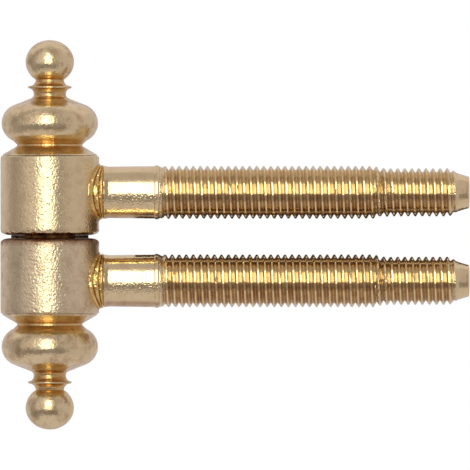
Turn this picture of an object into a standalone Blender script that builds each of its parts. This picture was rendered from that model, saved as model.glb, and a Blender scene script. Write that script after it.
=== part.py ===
"""Drill-in door hinge of the lift-off kind, with turned finials.

Two turned barrels stand on one pin. Each barrel carries a threaded shank, which is screwed
into the door or into its frame, and a finial on its outer end.

Units are metres. +Z runs up the hinge axis and both shanks point along +X. The origin is
where the hinge axis meets the axis of the lower shank.
"""

import math

import bmesh
import bpy

MM = 0.001

# Barrels
BARREL_RADIUS = 7.0 * MM
SHOULDER_ROUND = 0.25 * MM  # rounding of the edge that meets the finial
JOINT_EDGE_WIDTH = 1.4 * MM  # flat elliptical rounding of the edge at the joint
JOINT_EDGE_HEIGHT = 0.6 * MM
JOINT_LAND = 1.7 * MM  # barrel wall between the shank's seat and the joint face
UPPER_END_LAND = 0.8 * MM  # barrel wall between the shank's seat and the finial
LOWER_END_LAND = 0.3 * MM

# Hinge pin and bearing washer
PIN_RADIUS = 3.5 * MM
PIN_CHAMFER = 0.6 * MM
PIN_END_CLEARANCE = 0.5 * MM  # from either end of the pin to the bottom of its bore
WASHER_THICKNESS = 0.35 * MM
WASHER_EDGE_CLEARANCE = 0.1 * MM  # the washer stops this far inside the barrels' flat faces

# Shanks: lengths follow each other along the shank, outwards from the barrel
FLANGE_RADIUS = 4.25 * MM  # upset end, which fills the seat and shows where the barrel curves away
COLLAR_RINGS = ((4.0 * MM, 0.6 * MM), (3.88 * MM, 0.4 * MM))  # radius and length of each ring
COLLAR_GROOVE_LENGTH = 0.2 * MM
COLLAR_GROOVE_DEPTH = 0.15 * MM
COLLAR_PROUD = 0.5 * MM  # how far the rings stand out of the barrel
COLLAR_FLARE_LENGTH = 1.1 * MM
PLAIN_NEAR_RADIUS = 3.63 * MM  # the plain length thickens slightly towards the thread
PLAIN_FAR_RADIUS = 3.72 * MM
PLAIN_LENGTH = 6.2 * MM
BAND_RADIUS = 3.85 * MM
BAND_LENGTH = 0.8 * MM
BAND_SLOPE = 0.1 * MM
SPIGOT_RADIUS = 2.4 * MM
SPIGOT_WALL = 0.5 * MM  # barrel wall left between the spigot's bore and the pin's bore
SEAT_LIP = 0.2 * MM  # least depth of the shank's seat at the sides of the barrel

# Thread
PITCH = 1.0 * MM
MAIN_CREST_RADIUS = 3.75 * MM
PILOT_CREST_RADIUS = 3.42 * MM
THREAD_DEPTH = 0.54 * MM
MAIN_TURNS = 30
STEP_TURNS = 1  # over which the main thread falls to the pilot thread
PILOT_TURNS = 9
RUN_OUT_TURNS = 0.75  # over which the groove starts and ends
CREST_SHARE = 0.2  # flat crest, as a share of the pitch

# Conical tip
TIP_BASE_RADIUS = 2.93 * MM
TIP_CONE_LENGTH = 2.05 * MM
TIP_HALF_ANGLE = math.radians(17.0)
TIP_EDGE = 0.35 * MM

# Finials: heights are above the barrel's end
CONE_NECK_RADIUS = 4.65 * MM
CONE_NECK_HEIGHT = 1.53 * MM
CONE_NECK_LENGTH = 0.28 * MM
BEAD_RADIUS = 6.83 * MM
BEAD_ARC_RADIUS = 2.75 * MM
BEAD_ARC_END = 66.0  # degrees above and below its widest height
BEAD_COVE_RADIUS = 0.6 * MM  # between the bead and the neck under the disc
BEAD_HEIGHT = 4.68 * MM
DISC_NECK_RADIUS = 2.28 * MM
DISC_NECK_HEIGHT = 8.75 * MM
DISC_RADIUS = 3.1 * MM
DISC_HEIGHT = 9.75 * MM
DISC_THICKNESS = 0.35 * MM
BALL_NECK_RADIUS = 2.0 * MM
BALL_RADIUS = 3.43 * MM
BALL_HALF_HEIGHT = 3.1 * MM
BALL_HEIGHT = 13.35 * MM
FINIAL_SPIGOT_RADIUS = 2.4 * MM
FINIAL_SPIGOT_LENGTH = 2.4 * MM

# Clearances
RUNNING_CLEARANCE = 0.07 * MM  # between the pin and the two bores
SEAT_CLEARANCE = 0.1 * MM  # round a spigot or a flange
FACE_GAP = 0.05 * MM  # between faces that rest on each other
END_GAP = 0.3 * MM  # beyond a spigot's end

# Facets
BARREL_SEGMENTS = 48
FINIAL_SEGMENTS = 32
CUTTER_SEGMENTS = 32
THREAD_SEGMENTS = 14
SHARP_ANGLE = math.radians(40.0)

# Colours of the plated surfaces (linear)
TUMBLED_BRASS = (0.80, 0.62, 0.37)
ROLLED_BRASS = (0.82, 0.62, 0.33)
POLISHED_BRASS = (0.84, 0.64, 0.36)

# Worked out from the sizes above
PIN_BORE_RADIUS = PIN_RADIUS + RUNNING_CLEARANCE
FINIAL_SOCKET_RADIUS = FINIAL_SPIGOT_RADIUS + SEAT_CLEARANCE
FINIAL_SOCKET_DEPTH = FINIAL_SPIGOT_LENGTH + END_GAP
SEAT_RADIUS = FLANGE_RADIUS + SEAT_CLEARANCE
SEAT_PLANE = math.sqrt(BARREL_RADIUS**2 - SEAT_RADIUS**2) - SEAT_LIP
SHANK_BORE_END = PIN_BORE_RADIUS + SPIGOT_WALL
JOINT_TO_SHANK = JOINT_LAND + SEAT_RADIUS
UPPER_SHOULDER = SEAT_RADIUS + UPPER_END_LAND  # above the upper shank's axis
LOWER_SHOULDER = SEAT_RADIUS + LOWER_END_LAND  # below the lower shank's axis
JOINT_GAP = WASHER_THICKNESS + 2.0 * FACE_GAP
SHANK_SPACING = 2.0 * JOINT_TO_SHANK + JOINT_GAP
JOINT_FACE_RADIUS = BARREL_RADIUS - JOINT_EDGE_WIDTH


def clear_scene():
    """Removes everything that is in the scene."""
    for obj in list(bpy.data.objects):
        bpy.data.objects.remove(obj, do_unlink=True)


def new_collection(name, parent, is_helper=False):
    """Returns a new collection; a helper one is left out of renders."""
    collection = bpy.data.collections.new(name)
    collection.hide_render = is_helper
    parent.children.link(collection)
    return collection


def metal(name, colour, roughness):
    """Returns a metal material of that colour and roughness."""
    material = bpy.data.materials.new(name)
    material.use_nodes = True
    shader = material.node_tree.nodes["Principled BSDF"]
    shader.inputs["Base Color"].default_value = (*colour, 1.0)
    shader.inputs["Roughness"].default_value = roughness
    shader.inputs["Metallic"].default_value = 1.0
    return material


def new_object(name, mesh, collection):
    """Returns a new object that shows the mesh, shaded smooth between its sharp edges."""
    mesh.shade_smooth()
    mesh.set_sharp_from_angle(angle=SHARP_ANGLE)
    obj = bpy.data.objects.new(name, mesh)
    collection.objects.link(obj)
    return obj


def new_empty(name, location, collection):
    """Returns an empty that carries the pieces of one leaf."""
    empty = bpy.data.objects.new(name, None)
    empty.empty_display_size = BARREL_RADIUS
    empty.location = location
    collection.objects.link(empty)
    return empty


def attach(obj, parent, material, height=0.0, turn=(0.0, 0.0, 0.0)):
    """Gives a piece its material, and places it on its parent's axis at that height and turn."""
    obj.data.materials.append(material)
    obj.parent = parent
    obj.location = (0.0, 0.0, height)
    obj.rotation_euler = turn
    return obj


def arc(centre, radii, start, end, steps):
    """Returns points of an elliptical arc in the (radius, height) plane, angles in degrees."""
    points = []
    for step in range(steps + 1):
        angle = math.radians(start + (end - start) * step / steps)
        across = centre[0] + radii[0] * math.cos(angle)
        up = centre[1] + radii[1] * math.sin(angle)
        points.append((across, up))
    return points


def turned(name, profile, segments, collection, hollow=False):
    """Turns a profile of (radius, height) points about Z with a Screw modifier, and applies it.

    The profile runs down the outer side. A solid one starts and ends on the axis, and a hollow
    one goes back up the inner side and closes on itself.
    """
    count = len(profile)
    edges = [(i, i + 1) for i in range(count - 1)]
    if hollow:
        edges.append((count - 1, 0))
    outline = bpy.data.meshes.new(name + "_outline")
    outline.from_pydata([(radius, 0.0, height) for radius, height in profile], edges, [])
    obj = bpy.data.objects.new(name + "_outline", outline)
    collection.objects.link(obj)
    screw = obj.modifiers.new("Turn", "SCREW")
    screw.axis = "Z"
    screw.angle = 2.0 * math.pi
    screw.steps = segments
    screw.render_steps = segments
    screw.use_merge_vertices = True
    screw.merge_threshold = 0.001 * MM
    graph = bpy.context.evaluated_depsgraph_get()
    mesh = bpy.data.meshes.new_from_object(obj.evaluated_get(graph))
    mesh.name = name
    bpy.data.objects.remove(obj, do_unlink=True)
    bpy.data.meshes.remove(outline)
    return new_object(name, mesh, collection)


def barrel(name, height, collection):
    """Turns a barrel with its joint face at height 0 and its finial socket at the other end."""
    pin_bore_depth = height - FINIAL_SOCKET_DEPTH
    shoulder = arc(
        (BARREL_RADIUS - SHOULDER_ROUND, height - SHOULDER_ROUND),
        (SHOULDER_ROUND, SHOULDER_ROUND), 90.0, 0.0, 2,
    )
    joint_edge = arc(
        (JOINT_FACE_RADIUS, JOINT_EDGE_HEIGHT),
        (JOINT_EDGE_WIDTH, JOINT_EDGE_HEIGHT), 0.0, -90.0, 4,
    )
    bore = [
        (PIN_BORE_RADIUS, 0.0),
        (PIN_BORE_RADIUS, pin_bore_depth),
        (FINIAL_SOCKET_RADIUS, pin_bore_depth),
        (FINIAL_SOCKET_RADIUS, height),
    ]
    return turned(name, shoulder + joint_edge + bore, BARREL_SEGMENTS, collection, hollow=True)


def cut_shank_seat(piece, axis_height, cutters):
    """Cuts the stepped seat for a shank into a barrel: a flat for the flange, a bore for the spigot."""
    profile = [
        (0.0, 1.2 * BARREL_RADIUS),
        (SEAT_RADIUS, 1.2 * BARREL_RADIUS),
        (SEAT_RADIUS, SEAT_PLANE),
        (SPIGOT_RADIUS + SEAT_CLEARANCE, SEAT_PLANE),
        (SPIGOT_RADIUS + SEAT_CLEARANCE, SHANK_BORE_END),
        (0.0, SHANK_BORE_END),
    ]
    cutter = turned(piece.name + "_seat_cutter", profile, CUTTER_SEGMENTS, cutters)
    cutter.location = (0.0, 0.0, axis_height)
    cutter.rotation_euler = (0.0, math.radians(90.0), 0.0)
    cutter.hide_render = True
    cutter.display_type = "WIRE"
    seat = piece.modifiers.new("Shank seat", "BOOLEAN")
    seat.operation = "DIFFERENCE"
    seat.solver = "EXACT"
    seat.object = cutter


def finial_profile():
    """Returns the finial's outline, from the top of the ball to the end of the spigot."""
    ball_end = -math.degrees(math.acos(BALL_NECK_RADIUS / BALL_RADIUS))
    ball = arc((0.0, BALL_HEIGHT), (BALL_RADIUS, BALL_HALF_HEIGHT), 90.0, ball_end, 10)
    ball[0] = (0.0, ball[0][1])
    ball_neck_height = ball[-1][1]

    # The coves on both sides of the disc are quarter ellipses that end on its rim.
    disc_top = DISC_HEIGHT + DISC_THICKNESS / 2.0
    disc_bottom = DISC_HEIGHT - DISC_THICKNESS / 2.0
    upper_cove = arc(
        (DISC_RADIUS, ball_neck_height),
        (DISC_RADIUS - BALL_NECK_RADIUS, ball_neck_height - disc_top), 180.0, 270.0, 3,
    )
    lower_cove = arc(
        (DISC_RADIUS, DISC_NECK_HEIGHT),
        (DISC_RADIUS - DISC_NECK_RADIUS, disc_bottom - DISC_NECK_HEIGHT), 90.0, 180.0, 3,
    )

    bead_cove = arc(
        (DISC_NECK_RADIUS + BEAD_COVE_RADIUS, DISC_NECK_HEIGHT),
        (BEAD_COVE_RADIUS, BEAD_COVE_RADIUS), 180.0, 250.0, 2,
    )
    bead = arc(
        (BEAD_RADIUS - BEAD_ARC_RADIUS, BEAD_HEIGHT),
        (BEAD_ARC_RADIUS, BEAD_ARC_RADIUS), BEAD_ARC_END, -BEAD_ARC_END, 8,
    )
    foot = [
        (CONE_NECK_RADIUS, CONE_NECK_HEIGHT + CONE_NECK_LENGTH / 2.0),
        (CONE_NECK_RADIUS, CONE_NECK_HEIGHT - CONE_NECK_LENGTH / 2.0),
        (BARREL_RADIUS - SHOULDER_ROUND, FACE_GAP),
        (FINIAL_SPIGOT_RADIUS, FACE_GAP),
        (FINIAL_SPIGOT_RADIUS, -FINIAL_SPIGOT_LENGTH),
        (0.0, -FINIAL_SPIGOT_LENGTH),
    ]
    return ball + upper_cove[1:] + lower_cove + bead_cove[1:] + bead + foot


def pin_profile(length):
    """Returns the outline of the pin, chamfered at both ends."""
    return [
        (0.0, length),
        (PIN_RADIUS - PIN_CHAMFER, length),
        (PIN_RADIUS, length - PIN_CHAMFER),
        (PIN_RADIUS, PIN_CHAMFER),
        (PIN_RADIUS - PIN_CHAMFER, 0.0),
        (0.0, 0.0),
    ]


def washer_profile():
    """Returns the closed outline of the bearing washer."""
    outer = JOINT_FACE_RADIUS - WASHER_EDGE_CLEARANCE
    return [
        (outer, WASHER_THICKNESS),
        (outer, 0.0),
        (PIN_BORE_RADIUS, 0.0),
        (PIN_BORE_RADIUS, WASHER_THICKNESS),
    ]


def shank_sections():
    """Returns the (distance, radius) steps of the shank from its spigot up to the thread."""
    collar_end = BARREL_RADIUS + COLLAR_PROUD
    collar = []
    place = collar_end
    for radius, length in reversed(COLLAR_RINGS):
        groove_end = place - length
        bottom = (groove_end - COLLAR_GROOVE_LENGTH / 2.0, radius - COLLAR_GROOVE_DEPTH)
        collar = [bottom, (groove_end, radius), (place, radius)] + collar
        place = groove_end - COLLAR_GROOVE_LENGTH
    plain_start = collar_end + COLLAR_FLARE_LENGTH
    band_start = plain_start + PLAIN_LENGTH
    band_end = band_start + BAND_LENGTH
    return [
        (SHANK_BORE_END + END_GAP, SPIGOT_RADIUS),
        (SEAT_PLANE + FACE_GAP, SPIGOT_RADIUS),
        (SEAT_PLANE + FACE_GAP, FLANGE_RADIUS),
        (place, FLANGE_RADIUS),
        *collar,
        (collar_end + COLLAR_FLARE_LENGTH / 4.0, PLAIN_NEAR_RADIUS + COLLAR_GROOVE_DEPTH),
        (plain_start, PLAIN_NEAR_RADIUS),
        (band_start, PLAIN_FAR_RADIUS),
        (band_start + BAND_SLOPE, BAND_RADIUS),
        (band_end - BAND_SLOPE, BAND_RADIUS),
        (band_end, PLAIN_FAR_RADIUS),
    ]


def tip_sections(thread_end):
    """Returns the (distance, radius) steps of the tip after the thread."""
    cone_end = thread_end + TIP_CONE_LENGTH
    cone_radius = TIP_BASE_RADIUS - TIP_CONE_LENGTH * math.tan(TIP_HALF_ANGLE)
    return [
        (thread_end, TIP_BASE_RADIUS),
        (cone_end, cone_radius),
        (cone_end + TIP_EDGE, cone_radius - TIP_EDGE),
    ]


def thread_radius(turn, turns, share):
    """Returns the thread's radius at a turn, and at a share of its depth between root and crest."""
    fall = min(max((turn - MAIN_TURNS) / STEP_TURNS, 0.0), 1.0)
    crest = MAIN_CREST_RADIUS + (PILOT_CREST_RADIUS - MAIN_CREST_RADIUS) * fall
    cut = crest - THREAD_DEPTH * (1.0 - share)
    blank = PLAIN_FAR_RADIUS if turn < turns / 2.0 else TIP_BASE_RADIUS
    formed = min(max(turn / RUN_OUT_TURNS, 0.0), 1.0)
    formed = min(formed, max((turns - turn) / RUN_OUT_TURNS, 0.0))
    return blank + (cut - blank) * formed


def shank_mesh():
    """Returns one shank along +Z, with its thread swept as a helical grid between rings.

    A column of the grid holds the root and the two edges of the crest. Its far side is the root
    of the column one turn on, so that the grid is one strip wound round the shank.
    """
    mesh = bmesh.new()
    turns = MAIN_TURNS + STEP_TURNS + PILOT_TURNS
    # (share of the pitch, share of the depth) of the root and of both edges of the crest
    form = [(0.0, 0.0), (0.5 - CREST_SHARE / 2.0, 1.0), (0.5 + CREST_SHARE / 2.0, 1.0)]

    def point(step, radius, distance):
        angle = 2.0 * math.pi * step / THREAD_SEGMENTS
        return mesh.verts.new((radius * math.cos(angle), radius * math.sin(angle), distance))

    def ring(distance, radius):
        return [point(step, radius, distance) for step in range(THREAD_SEGMENTS)]

    def join_rings(first, second):
        for step in range(THREAD_SEGMENTS):
            after = (step + 1) % THREAD_SEGMENTS
            mesh.faces.new((first[step], first[after], second[after], second[step]))

    near = [ring(*section) for section in shank_sections()]
    thread_start = shank_sections()[-1][0] + PITCH / 4.0
    thread_end = thread_start + (turns + 1.25) * PITCH
    far = [ring(*section) for section in tip_sections(thread_end)]
    for rings in (near, far):
        for first, second in zip(rings, rings[1:]):
            join_rings(first, second)
    mesh.faces.new(reversed(near[0]))
    mesh.faces.new(far[-1])

    steps = turns * THREAD_SEGMENTS
    columns = []
    for step in range(steps + THREAD_SEGMENTS + 1):
        turn = step / THREAD_SEGMENTS
        rows = form if step <= steps else form[:1]
        column = []
        for offset, share in rows:
            distance = thread_start + (turn + offset) * PITCH
            column.append(point(step, thread_radius(turn, turns, share), distance))
        columns.append(column)
    chains = [columns[i] + [columns[i + THREAD_SEGMENTS][0]] for i in range(steps + 1)]
    for here, there in zip(chains, chains[1:]):
        for row in range(len(form)):
            mesh.faces.new((here[row], there[row], there[row + 1], here[row + 1]))

    # Each end of the strip is closed to a ring. The face beside the strip's cut edge also takes
    # that edge's points, as a fan.
    for step in range(THREAD_SEGMENTS - 1):
        mesh.faces.new((near[-1][step], near[-1][step + 1], columns[step + 1][0], columns[step][0]))
        start = steps + 1 + step
        ahead = (step + 2) % THREAD_SEGMENTS
        mesh.faces.new((columns[start][0], columns[start + 1][0], far[0][ahead], far[0][step + 1]))
    last = THREAD_SEGMENTS - 1
    mesh.faces.new((near[-1][last], near[-1][0], columns[last][0]))
    for first, second in zip([near[-1][0]] + chains[0], chains[0]):
        mesh.faces.new((columns[last][0], first, second))
    mesh.faces.new((columns[steps + 1][0], far[0][1], far[0][0]))
    for first, second in zip(chains[-1], chains[-1][1:] + [far[0][0]]):
        mesh.faces.new((columns[steps + 1][0], second, first))

    bmesh.ops.recalc_face_normals(mesh, faces=mesh.faces)
    result = bpy.data.meshes.new("shank")
    mesh.to_mesh(result)
    mesh.free()
    return result


def build():
    """Builds the hinge closed up, with both shanks parallel."""
    clear_scene()
    root = bpy.context.scene.collection
    parts = new_collection("door_hinge", root)
    cutters = new_collection("cutters", root, is_helper=True)
    upside_down = (math.radians(180.0), 0.0, 0.0)
    sideways = (0.0, math.radians(90.0), 0.0)

    # The frame leaf carries the pin, which is pressed into its barrel.
    frame_leaf = new_empty("frame_leaf", (0.0, 0.0, 0.0), parts)
    lower_barrel = attach(
        barrel("lower_barrel", JOINT_TO_SHANK + LOWER_SHOULDER, parts),
        frame_leaf, metal("tumbled_brass_lower_barrel", TUMBLED_BRASS, 0.32),
        JOINT_TO_SHANK, upside_down,
    )
    cut_shank_seat(lower_barrel, 0.0, cutters)
    attach(
        new_object("lower_shank", shank_mesh(), parts),
        frame_leaf, metal("rolled_brass_lower_shank", ROLLED_BRASS, 0.28),
        turn=sideways,
    )
    attach(
        turned("lower_finial", finial_profile(), FINIAL_SEGMENTS, parts),
        frame_leaf, metal("polished_brass_lower_finial", POLISHED_BRASS, 0.16),
        -LOWER_SHOULDER, upside_down,
    )
    pin_bottom = -LOWER_SHOULDER + FINIAL_SOCKET_DEPTH + PIN_END_CLEARANCE
    pin_top = SHANK_SPACING + UPPER_SHOULDER - FINIAL_SOCKET_DEPTH - PIN_END_CLEARANCE
    attach(
        turned("hinge_pin", pin_profile(pin_top - pin_bottom), BARREL_SEGMENTS, parts),
        frame_leaf, metal("ground_steel_pin", (0.55, 0.55, 0.56), 0.25),
        pin_bottom,
    )

    # The loose washer lies on the lower barrel and carries the door leaf.
    attach(
        turned("bearing_washer", washer_profile(), BARREL_SEGMENTS, parts, hollow=True),
        frame_leaf, metal("brass_washer", (0.75, 0.55, 0.28), 0.35),
        JOINT_TO_SHANK + FACE_GAP,
    )

    # The door leaf turns on the pin and lifts off it.
    door_leaf = new_empty("door_leaf", (0.0, 0.0, SHANK_SPACING), parts)
    upper_barrel = attach(
        barrel("upper_barrel", JOINT_TO_SHANK + UPPER_SHOULDER, parts),
        door_leaf, metal("tumbled_brass_upper_barrel", TUMBLED_BRASS, 0.32),
        -JOINT_TO_SHANK,
    )
    cut_shank_seat(upper_barrel, SHANK_SPACING, cutters)
    attach(
        new_object("upper_shank", shank_mesh(), parts),
        door_leaf, metal("rolled_brass_upper_shank", ROLLED_BRASS, 0.28),
        turn=sideways,
    )
    attach(
        turned("upper_finial", finial_profile(), FINIAL_SEGMENTS, parts),
        door_leaf, metal("polished_brass_upper_finial", POLISHED_BRASS, 0.16),
        UPPER_SHOULDER,
    )


build()
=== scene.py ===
"""Looks of a brass-plated drill-in door hinge with turned finials.

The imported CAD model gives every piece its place. Each of its pieces is replaced here by a finer
one of the same size: turned barrels and finials, shanks with threads swept by Geometry Nodes and
upset joints, the pin and the washer. Lengths are in metres; fields that end in _mm are in
millimetres.
"""

import logging
import math
from dataclasses import dataclass, field
from enum import Enum
from typing import Any, Callable

import bmesh
import bpy
from mathutils import Matrix, Vector, noise


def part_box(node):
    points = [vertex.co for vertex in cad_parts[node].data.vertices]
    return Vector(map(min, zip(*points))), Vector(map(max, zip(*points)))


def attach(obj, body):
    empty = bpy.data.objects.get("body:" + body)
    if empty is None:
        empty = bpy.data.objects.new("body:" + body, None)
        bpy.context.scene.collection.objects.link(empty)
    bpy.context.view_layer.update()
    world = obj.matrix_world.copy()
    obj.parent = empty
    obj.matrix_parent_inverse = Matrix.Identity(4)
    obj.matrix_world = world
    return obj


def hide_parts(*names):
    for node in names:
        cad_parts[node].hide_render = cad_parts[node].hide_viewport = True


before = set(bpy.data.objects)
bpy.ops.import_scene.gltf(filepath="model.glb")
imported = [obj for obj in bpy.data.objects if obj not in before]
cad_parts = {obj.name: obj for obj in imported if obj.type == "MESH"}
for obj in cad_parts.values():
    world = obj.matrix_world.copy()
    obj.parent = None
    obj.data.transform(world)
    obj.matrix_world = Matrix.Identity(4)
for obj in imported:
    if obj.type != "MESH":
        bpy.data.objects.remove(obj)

LOG = logging.getLogger("door_hinge")
MM = 0.001
VIEW_MIDDLE = 26.27 * MM
BMesh = bmesh.types.BMesh
Node = bpy.types.Node
Object = bpy.types.Object
Socket = bpy.types.NodeSocket
Tree = bpy.types.NodeTree
Pair = tuple[float, float]
Triple = tuple[float, float, float]
Outline = list[Pair]


# -------------------- Small tools --------------------


def add_node(tree: Tree, kind: str, *values: Any, **settings: Any) -> Node:
    """Adds a node to a tree, with its settings and links.

    Args:
        tree: the node tree.
        kind: the node's type, such as "ShaderNodeMath".
        *values: one for each input, in order; a socket is linked, None is passed over. A pair
            (input name, value) goes to the input of that name instead.
        **settings: the node's own properties.

    Returns:
        The new node.
    """
    node = tree.nodes.new(kind)
    for key, value in settings.items():
        setattr(node, key, value)
    for index, value in enumerate(values):
        key = index
        if isinstance(value, tuple) and value and isinstance(value[0], str):
            key, value = value
        if isinstance(value, bpy.types.NodeSocket):
            tree.links.new(value, node.inputs[key])
        elif value is not None:
            node.inputs[key].default_value = value
    return node


def result(tree: Tree, kind: str, *values: Any, **settings: Any) -> Socket:
    """Adds a node as add_node does, and returns its first output."""
    return add_node(tree, kind, *values, **settings).outputs[0]


def calc(tree: Tree, operation: str, *values: Any, **settings: Any) -> Socket:
    """Adds a maths node with that operation, and returns its result."""
    return result(tree, "ShaderNodeMath", *values, operation=operation, **settings)


def ranged(tree: Tree, value: Socket, *limits: Any, **settings: Any) -> Socket:
    """Adds a node that carries a value over from one range to another.

    Args:
        tree: the node tree.
        value: the socket of the value.
        *limits: the start and end of the first range, then those of the second, which runs from
            0 to 1 where they are left out.
        **settings: the node's own properties.

    Returns:
        The socket of the new value, held within the second range.
    """
    return result(tree, "ShaderNodeMapRange", value, *limits, **settings)


def ramp(value: float, start: float, end: float) -> float:
    """Returns how far a value has come from the start to the end, from 0 to 1."""
    return min(max((value - start) / (end - start), 0.0), 1.0)


def linear(hex_colour: str) -> tuple[float, float, float, float]:
    """Turns an sRGB hex colour such as "d8b070" into linear RGBA."""
    channels = [int(hex_colour[i:i + 2], 16) / 255.0 for i in (0, 2, 4)]
    red, green, blue = (
        c / 12.92 if c <= 0.04045 else ((c + 0.055) / 1.055) ** 2.4 for c in channels
    )
    return red, green, blue, 1.0


def arc(centre: Pair, radii: Pair, start: float, end: float,
        steps: int) -> Outline:
    """Samples an elliptical arc.

    Args:
        centre: the arc's centre, as (radius, height).
        radii: its half axes across and up.
        start: the first angle in degrees, from the outward direction.
        end: the last angle in degrees.
        steps: how many stretches it is cut into.

    Returns:
        The points of the arc, as (radius, height).
    """
    points = []
    for step in range(steps + 1):
        angle = math.radians(start + (end - start) * step / steps)
        points.append((centre[0] + radii[0] * math.cos(angle),
                       centre[1] + radii[1] * math.sin(angle)))
    return points


def refined(outline: Outline, longest: float) -> Outline:
    """Adds points to an outline so that no stretch of it is longer than that length."""
    points = [outline[0]]
    for (r0, h0), (r1, h1) in zip(outline, outline[1:]):
        count = max(1, math.ceil(math.hypot(r1 - r0, h1 - h0) / longest))
        points += [(r0 + (r1 - r0) * i / count, h0 + (h1 - h0) * i / count)
                   for i in range(1, count + 1)]
    return points


def finished(name: str, mesh: BMesh, sharp_degrees: float) -> Object:
    """Turns a bmesh into an object of the scene, faces outwards, smooth between sharp edges.

    Args:
        name: the piece's name.
        mesh: the closed bmesh, which is freed.
        sharp_degrees: edges that turn by more than this stay crisp.

    Returns:
        The new object, at the origin.
    """
    bmesh.ops.recalc_face_normals(mesh, faces=mesh.faces)
    data = bpy.data.meshes.new(name)
    mesh.to_mesh(data)
    mesh.free()
    data.shade_smooth()
    data.set_sharp_from_angle(angle=math.radians(sharp_degrees))
    obj = bpy.data.objects.new(name, data)
    bpy.context.scene.collection.objects.link(obj)
    return obj


def turned(outline: Outline, segments: int, closed: bool = False) -> BMesh:
    """Turns an outline of (radius, height) points about Z.

    Args:
        outline: the points. A point of radius zero becomes one vertex on the axis.
        segments: the number of sides.
        closed: whether the outline's last point joins its first, as on a hollow piece.

    Returns:
        The turned bmesh.
    """
    mesh = bmesh.new()
    rings = []
    for radius, height in outline:
        if radius < 1e-7:
            rings.append([mesh.verts.new((0.0, 0.0, height))] * segments)
            continue
        angles = (2.0 * math.pi * i / segments for i in range(segments))
        rings.append([mesh.verts.new((radius * math.cos(a), radius * math.sin(a), height))
                      for a in angles])
    for first, second in zip(rings, rings[1:] + rings[:1] if closed else rings[1:]):
        for i in range(segments):
            j = (i + 1) % segments
            corners = list(dict.fromkeys((first[i], first[j], second[j], second[i])))
            mesh.faces.new(corners)
    return mesh


def mark(mesh: BMesh, name: str, share: Callable[[Vector], float]) -> None:
    """Stores in a mesh attribute how far each vertex takes dirt, painted shade or filler, from 0
    to 1.

    Args:
        mesh: the bmesh.
        name: the attribute's name, as the finishes read it.
        share: gives the value at a place.
    """
    layer = mesh.verts.layers.float.get(name) or mesh.verts.layers.float.new(name)
    for vert in mesh.verts:
        vert[layer] = min(max(share(vert.co), 0.0), 1.0)


def evaluated_copy(obj: Object, name: str) -> bpy.types.Mesh:
    """Returns a plain mesh of what an object's modifiers make of it, and removes the object."""
    graph = bpy.context.evaluated_depsgraph_get()
    data = bpy.data.meshes.new_from_object(obj.evaluated_get(graph))
    data.name = name
    bpy.data.objects.remove(obj, do_unlink=True)
    return data


# -------------------- Finishes --------------------


@dataclass(frozen=True)
class Relief:
    """An uneven surface: bumps of one size and depth, both as on the real metal."""

    size_mm: float
    depth_mm: float
    detail: float = 2.0
    stretch: Triple = (1.0, 1.0, 1.0)

    def height(self, tree: Tree, place: Socket) -> Socket:
        """Adds the nodes of the relief.

        Args:
            tree: the material's tree.
            place: the coordinates.

        Returns:
            The socket that gives the height in metres.
        """
        mapping = result(tree, "ShaderNodeMapping", place, None, None, self.stretch)
        bumps = result(tree, "ShaderNodeTexNoise", mapping,
                       ("Scale", 1.0 / (self.size_mm * MM)), ("Detail", self.detail))
        return calc(tree, "MULTIPLY", bumps, self.depth_mm * MM)


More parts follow.
